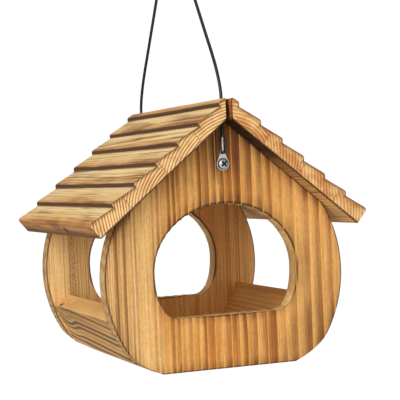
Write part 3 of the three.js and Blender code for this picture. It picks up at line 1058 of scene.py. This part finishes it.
def cross_cutter(y, out):
    """A tapered cross, wide at the head's face and narrow at the bottom of the recess."""
    arm = 3.1
    half = 0.9
    lean = math.radians(40)
    deep = 1.5
    above_head = 0.6
    outline = [(half, half), (half, arm), (-half, arm), (-half, half), (-arm, half), (-arm, -half)]
    outline += [(-x, -rise) for x, rise in outline]
    vertices = []
    for distance, scale in ((HEAD_HEIGHT + above_head, 1.08), (HEAD_HEIGHT - deep, 0.5)):
        for across, rise in outline:
            x = (across * math.cos(lean) - rise * math.sin(lean)) * scale
            height = (across * math.sin(lean) + rise * math.cos(lean)) * scale
            vertices.append(place(x, y + out * distance, EYE_HEIGHT + height))
    mesh = new_mesh("cross_cutter", vertices, tube_faces(2, len(outline)))
    return add_object("cross_cutter", mesh, [recess])


def pan_screw(name, y, out):
    """A pan head with a cross recess, on a plain pointed shank."""
    point = 3.0
    dome_rise = 1.2
    shoulder = HEAD_HEIGHT - dome_rise
    dome = [(HEAD_RADIUS * math.cos(t), shoulder + dome_rise * math.sin(t)) for t in (0.0, 0.35, 0.7)]
    crown = [(2.4, HEAD_HEIGHT - 0.12), (1.2, HEAD_HEIGHT - 0.03), (0.01, HEAD_HEIGHT)]
    profile = [(0.5, -SHANK_LENGTH), (SHANK_RADIUS, point - SHANK_LENGTH), (SHANK_RADIUS, 0)]
    profile += [(HEAD_RADIUS - 0.15, 0), (HEAD_RADIUS, 0.2)] + dome + crown
    made = add_object(name, lathe(name, profile, 40, y, out), [zinc])
    cutter = cross_cutter(y, out)
    cut = made.modifiers.new("recess", "BOOLEAN")
    cut.operation = "DIFFERENCE"
    cut.object = cutter
    # The recess walls take the cutter's near-black painted shade.
    cut.material_mode = "TRANSFER"
    graph = bpy.context.evaluated_depsgraph_get()
    mesh = bpy.data.meshes.new_from_object(made.evaluated_get(graph))
    made.modifiers.clear()
    made.data = mesh
    bpy.data.objects.remove(cutter)
    smooth_below(mesh, 35)
    return made


for end, out in (("front", -1), ("back", 1)):
    middle = out * (PLATE_FACE + EYE_PLATE / 2)
    eye = flat_solid(f"{end}_lug_eye", eye_loops(), EYE_PLATE, 0.15, middle, [zinc_plate], lambda face: 0)
    keep(eye, "zinc_plate", f"{end}_ring_terminal")
    barrel_name = f"{end}_lug_barrel"
    barrel = add_object(barrel_name, barrel_mesh(barrel_name, out * WIRE_Y, out), [shaded_zinc_barrel])
    keep(barrel, "zinc_plate")
    screw = pan_screw(f"{end}_lug_screw", out * HEAD_SEAT, out)
    keep(screw, "zinc_plate", f"{end}_screw")

# ---- Wire. Y and height of the front strand, from the terminal up to the apex; the back one mirrors it.
STRAND = [
    (-WIRE_Y, WIRE_END), (-WIRE_Y, 178.0), (-WIRE_Y, 190.0), (-WIRE_Y, 201.0), (-WIRE_Y, FOLD_HEIGHT),
    (-WIRE_Y + 0.2, 213.0), (-92.2, 221.0), (-87.2, 232.0), (-79.8, 244.5), (-71.0, 257.5), (-60.0, 274.0),
    (-49.0, 290.5), (-39.8, 304.5), (-30.0, 319.5), (-20.5, 333.5), (-12.0, 344.5), (-5.5, 350.2),
    (0.0, 352.25),
]
ROUTE = STRAND + [(-y, height) for y, height in reversed(STRAND[:-1])]


def smooth_route(points, steps):
    """A smooth line through the points (centripetal Catmull-Rom)."""
    vectors = [Vector((y, height)) for y, height in points]
    padded = [2 * vectors[0] - vectors[1], *vectors, 2 * vectors[-1] - vectors[-2]]
    line = [vectors[0]]
    for p0, p1, p2, p3 in zip(padded, padded[1:], padded[2:], padded[3:]):
        t1 = (p1 - p0).length ** 0.5
        t2 = t1 + (p2 - p1).length ** 0.5
        t3 = t2 + (p3 - p2).length ** 0.5
        for i in range(1, steps + 1):
            t = t1 + (t2 - t1) * i / steps
            a1 = p0 * ((t1 - t) / t1) + p1 * (t / t1)
            a2 = p1 * ((t2 - t) / (t2 - t1)) + p2 * ((t - t1) / (t2 - t1))
            a3 = p2 * ((t3 - t) / (t3 - t2)) + p3 * ((t - t2) / (t3 - t2))
            b1 = a1 * ((t2 - t) / t2) + a2 * (t / t2)
            b2 = a2 * ((t3 - t) / (t3 - t1)) + a3 * ((t - t1) / (t3 - t1))
            line.append(b1 * ((t2 - t) / (t2 - t1)) + b2 * ((t - t1) / (t2 - t1)))
    return line


def wire_mesh(line):
    """A closed round tube about a line in the plane x = 0."""
    vertices = []
    for i, point in enumerate(line):
        along = (line[min(i + 1, len(line) - 1)] - line[max(i - 1, 0)]).normalized()
        for side in range(WIRE_SIDES):
            turn = 2 * math.pi * side / WIRE_SIDES
            out = WIRE_RADIUS * math.sin(turn)
            x = WIRE_RADIUS * math.cos(turn)
            vertices.append(place(x, point.x - along.y * out, point.y + along.x * out))
    mesh = new_mesh("hanger_wire", vertices, tube_faces(len(line), WIRE_SIDES))
    smooth_below(mesh, 50)
    return mesh


wire_line = smooth_route(ROUTE, WIRE_STEPS)
wire_path = [place(0, point.x, point.y) for point in wire_line]
wire = add_object("hanger_wire", wire_mesh(wire_line), [coated_wire_look()])
fold = place(0, 0, FOLD_HEIGHT)
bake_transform(wire)
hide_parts("wire_loop", "wire_front_drop", "wire_back_drop")
place(0, -WIRE_Y, BARREL_TO)

# ---- Stage: a pale floor well below the feeder, and soft light from the upper left
FLOOR_DROP = 0.62
FLOOR_RADIUS = 2.3
KEY_FROM = Vector((-1.7, -1.7, 0.75))
WORLD_LIGHT = {"From Min": -0.7, "From Max": 0.9, "To Min": 0.2, "To Max": 0.66}


def make_floor():
    sides = 96
    ring = arc((0, 0), FLOOR_RADIUS, 0, 2 * math.pi, sides)[:-1]
    vertices = [(x, y, BASE - FLOOR_DROP) for x, y in ring]
    mesh = new_mesh("studio_floor", vertices, [tuple(range(sides))])
    look = Look("studio_floor_look", roughness=0.9, specular=0.1, colour=srgb(250, 250, 250))
    look.tint(1 + look.noise(look.x * 3, look.y * 3, 0.0) * 0.02)
    made = add_object("studio_floor", mesh, [look.finish()])


def make_light(name, position, size, power):
    lamp = bpy.data.lights.new(name, "AREA")
    lamp.shape = "SQUARE"
    lamp.size = size
    lamp.energy = power
    made = bpy.data.objects.new(name, lamp)
    made.location = position
    towards = place(0, 0, 110) - made.location
    made.rotation_euler = towards.to_track_quat("-Z", "Y").to_euler()
    scene.collection.objects.link(made)


def make_world():
    """White behind the feeder, and a soft white light that is strongest from the key side."""
    world = bpy.data.worlds.new("studio")
    scene.world = world
    world.use_nodes = True
    tree = world.node_tree
    seen = tree.nodes["Background"]
    seen.inputs["Color"].default_value = (1, 1, 1, 1)
    seen.inputs["Strength"].default_value = 1.05
    towards = tree.nodes.new("ShaderNodeTexCoord").outputs["Generated"]
    facing = tree.nodes.new("ShaderNodeVectorMath")
    facing.operation = "DOT_PRODUCT"
    facing.inputs[1].default_value = KEY_FROM.normalized()
    strength = tree.nodes.new("ShaderNodeMapRange")
    strength.interpolation_type = "SMOOTHSTEP"
    for name, value in WORLD_LIGHT.items():
        strength.inputs[name].default_value = value
    light = tree.nodes.new("ShaderNodeBackground")
    light.inputs["Color"].default_value = (1, 0.985, 0.96, 1)
    switch = tree.nodes.new("ShaderNodeMixShader")
    rays = tree.nodes.new("ShaderNodeLightPath")
    tree.links.new(towards, facing.inputs[0])
    tree.links.new(facing.outputs["Value"], strength.inputs["Value"])
    tree.links.new(strength.outputs["Result"], light.inputs["Strength"])
    tree.links.new(rays.outputs["Is Camera Ray"], switch.inputs[0])
    tree.links.new(light.outputs[0], switch.inputs[1])
    tree.links.new(seen.outputs[0], switch.inputs[2])
    tree.links.new(switch.outputs[0], tree.nodes["World Output"].inputs["Surface"])


make_floor()
make_world()
make_light("key_light", KEY_FROM, 2.0, 42)
make_light("fill_light", Vector((0.95, -1.75, -0.35)), 1.0, 2.2)

scene.view_settings.view_transform = "Standard"
scene.view_settings.look = "None"

# ---- Camera
CAMERA_FROM = Vector((-0.3839, -1.0187, -0.1998))
CAMERA_AZIMUTH = math.radians(-21.44)
CAMERA_ELEVATION = math.radians(1.165)
CAMERA_ROLL = math.radians(-2.507)
camera_data = bpy.data.cameras.new("photo_camera")
camera_data.sensor_width = 36.0
camera_data.lens = 117.0
camera = bpy.data.objects.new("photo_camera", camera_data)
scene.collection.objects.link(camera)
turn = Matrix.Rotation(CAMERA_AZIMUTH, 4, "Z") @ Matrix.Rotation(math.pi / 2 - CAMERA_ELEVATION, 4, "X")
camera.matrix_world = Matrix.Translation(CAMERA_FROM) @ turn @ Matrix.Rotation(CAMERA_ROLL, 4, "Z")
scene.camera = camera
